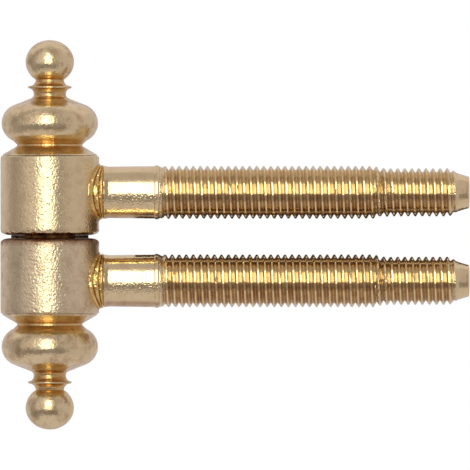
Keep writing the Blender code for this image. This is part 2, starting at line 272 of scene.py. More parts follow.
@dataclass(frozen=True)
class Metal:
    """A metal surface with its colour, its unevenness, its dirt and its painted shade.

    The tone is the clean metal and the stain is what dulls it in cloudy patches. The dark tone
    fills the places that the mesh marks for dirt and painted shade: a little dirt, but mostly
    painted shade in joint gaps, grooves, hollows and on undersides. The filler is the yellower
    metal of a joint, marked in an attribute of its own, which in a finial's hollows is painted
    shade too. Pits are small round hollows left by knocks. Where the mesh is marked "burnish"
    the unevenness is pressed flat. Round brushing, from 0 to 1, spreads a highlight round the
    piece's axis. The clouds are a noise that lies mostly between 0.3 and 0.7: within the stain's
    range it turns from clean to stained, and with it the dirt and painted shade change by the
    factors of their unevenness.
    """

    name: str
    slot: str
    tone: str
    stain: str
    roughness: Pair
    reliefs: tuple[Relief, ...]
    stain_size_mm: float = 1.6
    stain_share: float = 0.35
    pit_spacing_mm: float = 0.0
    pit_size_mm: float = 0.12
    pit_depth_mm: float = 0.02
    dirt_and_shade_tone: str = "3c2614"
    filler_and_shade: str = "f0d488"
    stain_range: Pair = (0.42, 0.72)
    dirt_and_shade_unevenness: Pair = (0.6, 1.25)
    dirt_and_shade_dullness: float = 0.3
    round_brushing: float = 0.0

    def material(self) -> bpy.types.Material:
        """Builds the procedural material, or returns it if it has been built already."""
        found = bpy.data.materials.get(self.name)
        if found:
            return found
        material = bpy.data.materials.new(self.name)
        material.use_nodes = True
        tree = material.node_tree
        shader = tree.nodes["Principled BSDF"]
        shader.inputs["Metallic"].default_value = 1.0
        if self.round_brushing:
            shader.inputs["Anisotropic"].default_value = self.round_brushing
            around = result(tree, "ShaderNodeTangent", direction_type="RADIAL", axis="Z")
            tree.links.new(around, shader.inputs["Tangent"])
        place = add_node(tree, "ShaderNodeTexCoord").outputs["Object"]
        self._colour(tree, place, shader)
        self._relief(tree, place, shader)
        return material

    def _colour(self, tree: Tree, place: Socket, shader: Node) -> None:
        """Links the stained colour with its dirt and painted shade, and the roughness that goes
        with it.
        """
        clouds = result(tree, "ShaderNodeTexNoise", place,
                        ("Scale", 1.0 / (self.stain_size_mm * MM)), ("Detail", 4.0),
                        ("Roughness", 0.65))
        stained = ranged(tree, clouds, *self.stain_range, 0.0, self.stain_share,
                         interpolation_type="SMOOTHSTEP")
        filler_and_shade_share = add_node(tree, "ShaderNodeAttribute", attribute_name="filler_and_shade").outputs["Fac"]
        # The marked places take the dark tone: painted shade in gaps, grooves, hollows and
        # underneath, and some dirt.
        grime = add_node(tree, "ShaderNodeAttribute", attribute_name="grime").outputs["Fac"]
        uneven = ranged(tree, clouds, 0.3, 0.7, *self.dirt_and_shade_unevenness)
        grime = calc(tree, "MULTIPLY", grime, uneven, use_clamp=True)
        colour = linear(self.tone)
        for share, layer in ((stained, self.stain), (filler_and_shade_share, self.filler_and_shade), (grime, self.dirt_and_shade_tone)):
            colour = result(tree, "ShaderNodeMixRGB", share, colour, linear(layer))
        tree.links.new(colour, shader.inputs["Base Color"])
        dullness = ranged(tree, clouds, 0.3, 0.75, *self.roughness)
        dullness = calc(tree, "MULTIPLY_ADD", grime, self.dirt_and_shade_dullness, dullness)
        tree.links.new(dullness, shader.inputs["Roughness"])

    def _relief(self, tree: Tree, place: Socket, shader: Node) -> None:
        """Links the surface's unevenness to the shader's normal."""
        total = self.reliefs[0].height(tree, place)
        for relief in self.reliefs[1:]:
            total = calc(tree, "ADD", total, relief.height(tree, place))
        if self.pit_spacing_mm:
            distance = add_node(tree, "ShaderNodeTexVoronoi", place,
                                ("Scale", 1.0 / (self.pit_spacing_mm * MM))).outputs["Distance"]
            reach = self.pit_size_mm / self.pit_spacing_mm
            pits = ranged(tree, distance, 0.0, reach, -self.pit_depth_mm * MM, 0.0,
                          interpolation_type="SMOOTHSTEP")
            total = calc(tree, "ADD", total, pits)
        burnish = add_node(tree, "ShaderNodeAttribute", attribute_name="burnish").outputs["Fac"]
        total = calc(tree, "MULTIPLY", total, calc(tree, "SUBTRACT", 1.0, burnish))
        bump = result(tree, "ShaderNodeBump", ("Distance", 1.0), ("Height", total))
        tree.links.new(bump, shader.inputs["Normal"])


class Finish(Enum):
    """The finishes of the hinge's pieces."""

    # Steel turned, tumbled with stones, then plated: a soft metal with a sandy grain.
    TUMBLED = Metal(
        name="tumbled_brass_plate", slot="tumbled_brass",
        tone="eedaab", stain="c6ab86", roughness=(0.16, 0.26),
        reliefs=(Relief(0.24, 0.044, 1.5), Relief(4.0, 0.03)),
        # Its dark tone is the reddish-brown painted shade of the joint and round the shank's
        # seat.
        pit_spacing_mm=0.6, pit_size_mm=0.28, pit_depth_mm=0.022, dirt_and_shade_tone="7a4424",
    )
    # The same plating on the frame leaf's barrel, duller and with a coarser orange peel.
    TUMBLED_COARSE = Metal(
        name="coarse_tumbled_brass_plate", slot="tumbled_brass",
        tone="ebd8b0", stain="b89a78", roughness=(0.24, 0.36),
        reliefs=(Relief(0.30, 0.066, 1.5), Relief(4.0, 0.03)), stain_share=0.5,
        # Its dark tone is the reddish-brown painted shade of the joint and round the shank's
        # seat.
        pit_spacing_mm=0.7, pit_size_mm=0.30, pit_depth_mm=0.026, dirt_and_shade_tone="7a4424",
    )
    # Drawn bar and rolled thread: bright plating over a grained steel.
    ROLLED = Metal(
        name="rolled_thread_brass_plate", slot="rolled_brass",
        tone="eedaab", stain="d4b47c", roughness=(0.05, 0.11),
        # Its dark tone is the painted shade of the thread, the joint's grooves and the underside;
        # its filler is the yellower braze of the upset joint.
        reliefs=(Relief(0.2, 0.042, 1.5), Relief(1.0, 0.008)), dirt_and_shade_tone="863a18", filler_and_shade="ecca80",
        pit_spacing_mm=0.35, pit_size_mm=0.24, pit_depth_mm=0.034,
    )
    # Turned and polished before plating: faint turning rings, soft clouds.
    POLISHED = Metal(
        name="polished_turned_brass", slot="polished_brass",
        tone="eedaab", stain="a87848", roughness=(0.12, 0.25), stain_share=0.55,
        round_brushing=0.5,
        reliefs=(Relief(0.28, 0.042, 1.5), Relief(0.5, 0.006, stretch=(0.12, 0.12, 4.0)),
                 # Its dark and filler tones are the painted shade in the finial's hollows.
                 Relief(1.2, 0.05), Relief(3.0, 0.05)), dirt_and_shade_tone="6e3408", filler_and_shade="dca850",
    )
    # Stamped sheet, oily and rubbed dull between the barrels, its dark tone partly painted shade.
    STAMPED = Metal(
        name="stamped_sheet_brass", slot="washer_brass",
        tone="a8743e", stain="5a341c", roughness=(0.38, 0.5),
        reliefs=(Relief(0.3, 0.05),), stain_share=0.8,
    )
    # Ground bar steel with a trace of oil.
    GROUND = Metal(
        name="ground_bar_steel", slot="pin_steel",
        tone="b9bcc0", stain="8c8478", roughness=(0.18, 0.30),
        reliefs=(Relief(0.4, 0.002, stretch=(0.1, 0.1, 5.0)),), stain_share=0.4,
    )


@dataclass
class Piece:
    """One visible piece: what it is called, what it rides on and which CAD node it stands for."""

    name: str
    body: str
    finish: Finish
    replaces: tuple[str, ...] = ()

    def fit(self, obj: Object) -> Object:
        """Dresses the built object, joins it to its body and reports it.

        Args:
            obj: the finished mesh object, at the origin.

        Returns:
            The same object.
        """
        obj.data.materials.clear()
        obj.data.materials.append(self.finish.value.material())
        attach(obj, self.body)
        if self.replaces:
            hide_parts(*self.replaces)
        LOG.info("%s on %s: %d faces, %s", obj.name, self.body, len(obj.data.polygons),
                 self.finish.value.name)
        return obj


# -------------------- Barrels --------------------


@dataclass
class Barrel:
    """A turned barrel with rounded edges, a bore for the pin and a side seat for its shank.

    Args:
        node: the CAD node it stands for.
        body: the CAD body it rides on.
        axis_height: the height of its shank's axis.
        joint_up: whether its joint face looks up, as on the lower barrel.
        finish: the look of its metal.
        nick_shares: how strong the nicks are on its side, at its shoulder and at the joint.
        ragged: how deep the joint edge is torn, and how far from the joint face.
        joint_painted_shade: the joint face's painted shade; above 1 it fully reaches up the side.
        seat_painted_shade: the painted shade round the shank, and how far out it reaches.
    """

    node: str
    body: str
    axis_height: float
    joint_up: bool
    finish: Finish = Finish.TUMBLED
    segments: int = 192
    longest_edge: float = 0.3 * MM
    sharp_degrees: float = 50.0
    shoulder_round: float = 0.25 * MM
    joint_edge: Pair = (1.4 * MM, 0.6 * MM)
    bore_radius: float = 3.57 * MM
    bore_chamfer: float = 0.2 * MM
    socket_radius: float = 2.5 * MM
    socket_depth: float = 2.7 * MM
    seat_radius: float = 3.85 * MM
    seat_lip: float = 0.06 * MM
    spigot_bore: float = 2.5 * MM
    spigot_wall: float = 0.5 * MM
    unevenness: float = 0.02 * MM
    wave_size: float = 1.3 * MM
    nick_size: float = 0.45 * MM
    nick_shares: Triple = (0.4, 1.5, 5.0)
    ragged: Pair = (0.3 * MM, 1.1 * MM)
    tear_size: float = 0.8 * MM
    # Painted shade on the joint face and round the shank's seat.
    joint_painted_shade: float = 0.24
    seat_painted_shade: Pair = (0.35, 0.7 * MM)

    def build(self) -> Object:
        """Builds the barrel, cuts its seat and fits it."""
        low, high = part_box(self.node)
        radius, height = high.x, high.z - low.z
        shoulder = arc((radius - self.shoulder_round, height - self.shoulder_round),
                       (self.shoulder_round, self.shoulder_round), 90.0, 0.0, 6)
        edge = arc((radius - self.joint_edge[0], self.joint_edge[1]), self.joint_edge,
                   0.0, -90.0, 12)
        outline = refined(shoulder + edge, self.longest_edge) + [
            (self.bore_radius + self.bore_chamfer, 0.0),
            (self.bore_radius, self.bore_chamfer),
            (self.bore_radius, height - self.socket_depth),
            (self.socket_radius, height - self.socket_depth),
            (self.socket_radius, height),
        ]
        mesh = turned(outline, self.segments, closed=True)
        self._roughen(mesh, radius)
        if self.joint_up:
            face = high.z
            place = Matrix.Translation((0.0, 0.0, face)) @ Matrix.Rotation(math.pi, 4, "X")
        else:
            face = low.z
            place = Matrix.Translation((0.0, 0.0, face))
        bmesh.ops.transform(mesh, matrix=place, verts=mesh.verts)
        obj = finished(self.node + "_uncut", mesh, self.sharp_degrees)
        mesh = self._cut_seat(obj, radius)
        # Paints shade on the joint face and round the shank's seat.
        mark(mesh, "grime", lambda place: self._grime(place, face))
        obj = finished(self.node + "_turned", mesh, self.sharp_degrees)
        return Piece(obj.name, self.body, self.finish, (self.node,)).fit(obj)

    def _roughen(self, mesh: BMesh, radius: float) -> None:
        """Leaves the outer surface slightly uneven, more so along its edges, and never larger."""
        on_side, at_shoulder, at_joint = self.nick_shares
        inside = self.bore_radius + 0.5 * MM
        shift = Vector((self.axis_height / MM, 0.0, 0.0))
        for vert in mesh.verts:
            out = Vector((vert.co.x, vert.co.y, 0.0))
            if out.length < inside:
                continue
            wave = noise.noise(vert.co / self.wave_size + shift)
            nick = noise.noise(vert.co / self.nick_size)
            share = at_shoulder if out.length < radius - 0.01 * MM else on_side
            if vert.co.z < 1.2 * self.joint_edge[1]:
                share = at_joint
            vert.co -= out.normalized() * self.unevenness * max(0.0, wave + share * nick)
            depth, reach = self.ragged
            if vert.co.z < reach:
                tear = max(0.0, noise.noise(vert.co / self.tear_size) + 0.6 * nick)
                vert.co.z += depth * tear * (1.0 - vert.co.z / reach)

    def _grime(self, place: Vector, face: float) -> float:
        """Returns how dark the barrel's painted shade is: on its joint face and round the shank.
        """
        near_joint = 1.0 - abs(place.z - face) / (2.0 * self.joint_edge[1])
        if place.x <= 0.0:
            return self.joint_painted_shade * near_joint
        share, reach = self.seat_painted_shade
        from_axis = math.hypot(place.y, place.z - self.axis_height)
        near_seat = 1.0 - abs(from_axis - self.seat_radius) / reach
        return max(self.joint_painted_shade * near_joint, share * near_seat)

    def _cut_seat(self, obj: Object, radius: float) -> BMesh:
        """Cuts the round seat of the shank into the barrel's side.

        Args:
            obj: the uncut barrel, which is removed.
            radius: its radius.

        Returns:
            The cut barrel.
        """
        plane = math.sqrt(radius**2 - self.seat_radius**2) - self.seat_lip
        floor = self.bore_radius + self.spigot_wall
        outside = 1.2 * radius
        outline = [(0.0, outside), (self.seat_radius, outside), (self.seat_radius, plane),
                   (self.spigot_bore, plane), (self.spigot_bore, floor), (0.0, floor)]
        mesh = turned(outline, 96)
        lying = Matrix.Translation((0.0, 0.0, self.axis_height)) @ Matrix.Rotation(
            math.pi / 2.0, 4, "Y")
        bmesh.ops.transform(mesh, matrix=lying, verts=mesh.verts)
        cutter = finished(self.node + "_seat_cutter", mesh, self.sharp_degrees)
        cut = obj.modifiers.new("Seat", "BOOLEAN")
        cut.operation = "DIFFERENCE"
        cut.solver = "EXACT"
        cut.object = cutter
        data = evaluated_copy(obj, self.node + "_turned")
        bpy.data.objects.remove(cutter, do_unlink=True)
        mesh = bmesh.new()
        mesh.from_mesh(data)
        bmesh.ops.remove_doubles(mesh, verts=mesh.verts, dist=0.002 * MM)
        return mesh


# -------------------- Finials --------------------


@dataclass
class Finial:
    """A turned finial: cone, neck, bead, disc and ball, with a spigot that fits the barrel.

    Args:
        node: the CAD node it stands for.
        body: the CAD body it rides on.
        shoulder: the height of the barrel's end.
        pointing_up: whether the ball is on top.
        bead_hollows: the radius at which the hollows next to the bead start, and their depth.
        neck_hollows: the same for the hollows next to the disc.
    """

    node: str
    body: str
    shoulder: float
    pointing_up: bool
    segments: int = 160
    longest_edge: float = 0.12 * MM
    sharp_degrees: float = 35.0
    base_radius: float = 6.78 * MM
    neck_radius: float = 4.65 * MM
    neck_height: float = 1.53 * MM
    neck_length: float = 0.28 * MM
    bead_radius: float = 6.83 * MM
    bead_arc: float = 2.75 * MM
    bead_degrees: float = 66.0
    bead_height: float = 4.68 * MM
    bead_cove: float = 0.6 * MM
    disc_neck: Pair = (2.28 * MM, 8.75 * MM)
    disc_radius: float = 3.1 * MM
    disc_height: float = 9.75 * MM
    disc_thickness: float = 0.35 * MM
    ball_neck_radius: float = 2.0 * MM
    ball: Triple = (3.43 * MM, 3.1 * MM, 13.35 * MM)
    neck_round: Pair = (0.12 * MM, 0.08 * MM)
    cone_round: Pair = (0.1 * MM, 0.05 * MM)
    foot_round: Pair = (0.12 * MM, 0.16 * MM)
    spigot: Pair = (2.4 * MM, 2.4 * MM)
    seat_gap: float = 0.05 * MM
    bead_hollows: Pair = (6.3 * MM, 1.4 * MM)
    neck_hollows: Pair = (3.3 * MM, 0.8 * MM)
    hollow_painted_shade: float = 0.08
    hollow_painted_warm_shade: float = 0.5

    def outline(self) -> Outline:
        """Returns the outline from the top of the ball to the end of the spigot."""
        ball_radius, half_height, ball_height = self.ball
        end = -math.degrees(math.acos(self.ball_neck_radius / ball_radius))
        ball = arc((0.0, ball_height), (ball_radius, half_height), 90.0, end, 48)
        ball[0] = (0.0, ball[0][1])
        rim = self.disc_thickness / 2.0
        neck = ball[-1][1]
        upper_cove = arc((self.disc_radius - rim, neck),
                         (self.disc_radius - rim - self.ball_neck_radius,
                          neck - self.disc_height - rim), 180.0, 270.0, 8)
        disc = arc((self.disc_radius - rim, self.disc_height), (rim, rim), 90.0, -90.0, 8)
        lower_cove = arc((self.disc_radius - rim, self.disc_neck[1]),
                         (self.disc_radius - rim - self.disc_neck[0],
                          self.disc_height - rim - self.disc_neck[1]), 90.0, 180.0, 8)
        bead_cove = arc((self.disc_neck[0] + self.bead_cove, self.disc_neck[1]),
                        (self.bead_cove, self.bead_cove), 180.0, 250.0, 8)
        bead = arc((self.bead_radius - self.bead_arc, self.bead_height),
                   (self.bead_arc, self.bead_arc), self.bead_degrees, -self.bead_degrees, 48)
        half_neck = self.neck_length / 2.0
        foot = [
            (self.neck_radius + self.neck_round[0],
             self.neck_height + half_neck + self.neck_round[1]),
            (self.neck_radius, self.neck_height + half_neck),
            (self.neck_radius, self.neck_height - half_neck),
            (self.neck_radius + self.cone_round[0],
             self.neck_height - half_neck - self.cone_round[1]),
            (self.base_radius - self.foot_round[0], self.seat_gap + self.foot_round[1]),
            (self.base_radius, self.seat_gap),
        ]
        seat = [
            (self.spigot[0], self.seat_gap),
            (self.spigot[0], -self.spigot[1]),
            (0.0, -self.spigot[1]),
        ]
        shape = ball + upper_cove[1:] + disc[1:] + lower_cove[1:] + bead_cove[1:] + bead + foot
        return refined(shape, self.longest_edge) + seat

    def _hollow(self, place: Vector) -> float:
        """Returns how deep a place lies in the finial's hollows, where painted shade darkens the
        metal.
        """
        if place.z > self.ball[2] - 0.6 * self.ball[1]:
            return 0.0
        start, depth = self.bead_hollows if place.z < self.bead_height else self.neck_hollows
        return ramp(Vector((place.x, place.y)).length, start, start - depth)

    def build(self) -> Object:
        """Turns the finial, places it on its barrel and fits it."""
        mesh = turned(self.outline(), self.segments)
        # Painted shade in the hollows: the dark tone and the darker, warmer filler tone.
        mark(mesh, "grime", lambda place: self.hollow_painted_shade * self._hollow(place))
        mark(mesh, "filler_and_shade", lambda place: self.hollow_painted_warm_shade * self._hollow(place))
        place = Matrix.Translation((0.0, 0.0, self.shoulder))
        if not self.pointing_up:
            place = place @ Matrix.Rotation(math.pi, 4, "X")
        bmesh.ops.transform(mesh, matrix=place, verts=mesh.verts)
        obj = finished(self.node + "_turned", mesh, self.sharp_degrees)
        return Piece(obj.name, self.body, Finish.POLISHED, (self.node,)).fit(obj)


# -------------------- Shanks --------------------


@dataclass
class ThreadTree:
    """A Geometry Nodes tree that sweeps a screw thread along X as one helical grid.

    The grid winds round the shank, and both ends of the winding are held back to plain rings.

    Args:
        sizes: the tree's inputs; Start, radii and depths are lengths, Turns, Pilot Start,
            Pilot Step and Run Out are pitches.
        flank_degrees: the slope of the flanks.
        nick_range: the range of the noise over which a crest turns from whole to worn.
        crest_sharpness: how closely the wear keeps to the crests.
        burr_level: the level of the noise above which burrs stand out.
        step_burrs: how far from the step the burrs fade, from and to in pitches, and their
            share.
        start_burrs: the same from the start of the thread.
        groove_spread: how far the painted shade climbs out of the grooves; less climbs higher.
        under_range: from which height to which, as a share of the radius, the shade deepens
            below.
        over_range: the same on top.
    """

    sizes: dict[str, float] = field(default_factory=lambda: {
        "Start": 15.6 * MM,
        "Pitch": 1.0 * MM,
        "Turns": 42.2,
        "Crest Radius": 3.75 * MM,
        "Pilot Crest Radius": 3.42 * MM,
        "Pilot Start": 30.25,
        "Pilot Step": 1.1,
        "Depth": 0.5774 * MM,
        "Near Radius": 3.66 * MM,
        "Far Radius": 2.75 * MM,
        "Run Out": 1.1,
        "Root Radius": 0.11547 * MM,
        "Wear": 0.08 * MM,
        "Wear Size": 0.5 * MM,
        "Burr": 0.7 * MM,
        "Burr Size": 0.28 * MM,
        # Painted shade in the thread's grooves: a little in every root, more underneath and on
        # top.
        "Root Grime": 0.12,
        "Under Grime": 0.46,
        "Over Grime": 0.22,
        "Burnish": 0.93,
    })
    segments: int = 64
    profile_steps: int = 20
    merge_reach: float = 0.0005 * MM
    flank_degrees: float = 60.0
    nick_range: Pair = (0.42, 0.8)
    crest_sharpness: float = 6.0
    burr_level: float = 0.52
    step_burrs: Triple = (0.4, 1.6, 1.0)
    start_burrs: Triple = (0.4, 3.0, 0.5)
    groove_spread: float = 0.35
    under_range: Pair = (-0.03, -0.3)
    over_range: Pair = (0.38, 0.6)

    def build(self, seed: float) -> Tree:
        """Builds the tree.

        Args:
            seed: picks the pattern of wear along the crests.

        Returns:
            The node group, which ends in Realize Instances and Set Material.
        """
        tree, given = self._inputs()
        grid, turn, phase = self._grid(tree, given)
        # How many pitches along the shank each point lies, held between the two end rings.
        along = calc(tree, "SUBTRACT", calc(tree, "ADD", turn, phase), 1.0)
        along = result(tree, "ShaderNodeClamp", along, 0.0, given["Turns"])
        tooth = self._tooth(tree, given, phase)
        share = self._share(tree, given, along)
        radius = self._radius(tree, given, along, tooth, share)

        # Each point lies out from the axis by its radius, and along the shank.
        angle = calc(tree, "MULTIPLY", turn, 2.0 * math.pi)
        up = calc(tree, "SINE", angle)
        out = result(tree, "ShaderNodeCombineXYZ", 0.0, calc(tree, "COSINE", angle), up)
        axial = calc(tree, "MULTIPLY_ADD", along, given["Pitch"], given["Start"])
        axial = result(tree, "ShaderNodeCombineXYZ", axial)
        place = result(tree, "ShaderNodeVectorMath", out, radius, axial,
                       operation="MULTIPLY_ADD")
        radius = self._worn(tree, given, self._noise(tree, place, seed, given["Wear Size"], 2.0),
                            tooth, share, radius)
        radius = self._burred(tree, given,
                              self._noise(tree, place, seed + 20.0, given["Burr Size"], 1.0),
                              along, share, radius)
        place = result(tree, "ShaderNodeVectorMath", out, radius, axial,
                       operation="MULTIPLY_ADD")

        swept = result(tree, "GeometryNodeSetPosition", grid, None, place)
        grime = self._grime(tree, given, up, tooth, share)
        burnish = calc(tree, "MULTIPLY", share, given["Burnish"])
        for name, value in (("grime", grime), ("burnish", burnish)):
            swept = result(tree, "GeometryNodeStoreNamedAttribute", swept, None, name, value,
                           data_type="FLOAT", domain="POINT")
        joined = result(tree, "GeometryNodeMergeByDistance", swept, None,
                        ("Distance", self.merge_reach))
        real = result(tree, "GeometryNodeRealizeInstances", joined)
        dressed = result(tree, "GeometryNodeSetMaterial", real, None, given["Material"])
        add_node(tree, "NodeGroupOutput", dressed)
        return tree

    def _inputs(self) -> tuple[Tree, Any]:
        """Makes the tree with its inputs and its output, and returns it with its inputs."""
        tree = bpy.data.node_groups.new("helical_thread", "GeometryNodeTree")
        counts = {"Segments": self.segments, "Profile Steps": self.profile_steps}
        for kind, values in (("NodeSocketFloat", self.sizes), ("NodeSocketInt", counts)):
            for name, value in values.items():
                socket = tree.interface.new_socket(name, in_out="INPUT", socket_type=kind)
                socket.default_value = value
        tree.interface.new_socket("Material", in_out="INPUT", socket_type="NodeSocketMaterial")
        tree.interface.new_socket("Geometry", in_out="OUTPUT", socket_type="NodeSocketGeometry")
        return tree, add_node(tree, "NodeGroupInput").outputs

    @staticmethod
    def _grid(tree: Tree, given: Any) -> tuple[Socket, Socket, Socket]:
        """Adds a grid with columns round the winding and rows across one pitch.

        Args:
            tree: the node group.
            given: its inputs.

        Returns:
            The grid, the turns from its first column to each point, and the point's place
            within the pitch, from 0 to 1.
        """
        rows = calc(tree, "ADD", given["Profile Steps"], 1.0)
        winding = calc(tree, "ADD", given["Turns"], 1.0)
        columns = calc(tree, "MULTIPLY_ADD", winding, given["Segments"], 1.0)
        columns = calc(tree, "CEIL", columns)
        grid = result(tree, "GeometryNodeMeshGrid", 1.0, 1.0, columns, rows)
        index = result(tree, "GeometryNodeInputIndex")
        column = calc(tree, "FLOOR", calc(tree, "DIVIDE", index, rows))
        row = calc(tree, "MODULO", index, rows)
        turn = calc(tree, "DIVIDE", column, given["Segments"])
        return grid, turn, calc(tree, "DIVIDE", row, given["Profile Steps"])

    @staticmethod
    def _share(tree: Tree, given: Any, along: Socket) -> Socket:
        """Adds how fully the thread is formed: it fades to a plain shank at both ends."""
        rise = ranged(tree, along, 0.0, given["Run Out"], 0.0, 1.0)
        last = calc(tree, "SUBTRACT", given["Turns"], given["Run Out"])
        fade = ranged(tree, along, last, given["Turns"], 1.0, 0.0)
        return calc(tree, "MULTIPLY", rise, fade)

    @staticmethod
    def _radius(tree: Tree, given: Any, along: Socket, tooth: Socket, share: Socket) -> Socket:
        """Adds the radius of the unworn thread: its crest, less the depth of the groove."""
        pilot_end = calc(tree, "ADD", given["Pilot Start"], given["Pilot Step"])
        crest = ranged(tree, along, given["Pilot Start"], pilot_end, given["Crest Radius"],
                       given["Pilot Crest Radius"], interpolation_type="SMOOTHSTEP")
        groove = calc(tree, "SUBTRACT", 1.0, tooth)
        groove = calc(tree, "MULTIPLY", groove, given["Depth"])
        formed = calc(tree, "SUBTRACT", crest, groove)
        plain = ranged(tree, along, 0.0, given["Turns"], given["Near Radius"],
                       given["Far Radius"])
        return ranged(tree, share, 0.0, 1.0, plain, formed)

    @staticmethod
    def _noise(tree: Tree, place: Socket, seed: float, size: Socket, detail: float) -> Socket:
        """Adds a noise with bumps of that size."""
        scale = calc(tree, "DIVIDE", 1.0, size)
        return result(tree, "ShaderNodeTexNoise", ("Vector", place), ("W", seed),
                      ("Scale", scale), ("Detail", detail), noise_dimensions="4D")

    def _worn(self, tree: Tree, given: Any, nicks: Socket, tooth: Socket, share: Socket,
              radius: Socket) -> Socket:
        """Adds the wear that nicks and lowers the crests, and returns the worn radius."""
        nicks = ranged(tree, nicks, *self.nick_range, 0.0, 1.0)
        nicks = calc(tree, "MULTIPLY", nicks, share)
        at_crest = calc(tree, "POWER", tooth, self.crest_sharpness)
        nicks = calc(tree, "MULTIPLY", nicks, at_crest)
        nicks = calc(tree, "MULTIPLY", nicks, given["Wear"])
        return calc(tree, "SUBTRACT", radius, nicks)

    def _burred(self, tree: Tree, given: Any, burrs: Socket, along: Socket, share: Socket,
                radius: Socket) -> Socket:
        """Adds burrs where the thread steps down, fainter ones where it starts."""
        pilot_end = calc(tree, "ADD", given["Pilot Start"], given["Pilot Step"])
        step = calc(tree, "ABSOLUTE", calc(tree, "SUBTRACT", along, pilot_end))
        step = ranged(tree, step, *self.step_burrs, 0.0)
        start = ranged(tree, along, *self.start_burrs, 0.0)
        torn = calc(tree, "MAXIMUM", step, start)
        torn = calc(tree, "MULTIPLY", torn, share)
        burrs = calc(tree, "SUBTRACT", burrs, self.burr_level)
        burrs = calc(tree, "MULTIPLY", burrs, given["Burr"])
        return calc(tree, "MULTIPLY_ADD", burrs, torn, radius)

    def _grime(self, tree: Tree, given: Any, up: Socket, tooth: Socket, share: Socket) -> Socket:
        """Adds the painted shade in the grooves, which lies darker underneath and on top."""
        below = calc(tree, "SUBTRACT", 1.0, tooth)
        below = calc(tree, "POWER", calc(tree, "MULTIPLY", below, share), self.groove_spread)
        under = ranged(tree, up, *self.under_range, given["Root Grime"], given["Under Grime"])
        over = ranged(tree, up, *self.over_range, 0.0, given["Over Grime"])
        return calc(tree, "MULTIPLY", below, calc(tree, "MAXIMUM", under, over))

    def _tooth(self, tree: Tree, given: Any, phase: Socket) -> Socket:
        """Adds the nodes of the tooth's profile: a round root, straight flanks, a flat crest.

        Args:
            tree: the node group.
            given: its inputs.
            phase: the place within one pitch, from 0 to 1, with the root at both ends.

        Returns:
            The socket of the height above the root, as a share of the thread's depth.
        """
        flank = math.radians(self.flank_degrees)
        aside = calc(tree, "PINGPONG", phase, 0.5)
        aside = calc(tree, "MULTIPLY", aside, given["Pitch"])
        root = given["Root Radius"]
        flank_start = calc(tree, "MULTIPLY", root, math.sin(flank))
        in_root = calc(tree, "MINIMUM", aside, flank_start)
        square = calc(tree, "MULTIPLY", in_root, in_root)
        whole = calc(tree, "MULTIPLY", root, root)
        drop = calc(tree, "SQRT", calc(tree, "SUBTRACT", whole, square))
        height = calc(tree, "SUBTRACT", root, drop)
        on_flank = calc(tree, "SUBTRACT", aside, in_root)
        height = calc(tree, "MULTIPLY_ADD", on_flank, math.tan(flank), height)
        return calc(tree, "DIVIDE", height, given["Depth"], use_clamp=True)


@dataclass(frozen=True)
class Ring:
    """A ring of upset metal round a shank, flat on top with rounded sides."""

    start: float
    end: float
    radius: float

    def height(self, distance: float, base: float) -> float:
        """Returns how far the ring stands above a base radius at that distance."""
        across = (2.0 * distance - self.start - self.end) / (self.end - self.start)
        return (self.radius - base) * math.sqrt(max(0.0, 1.0 - across**4))


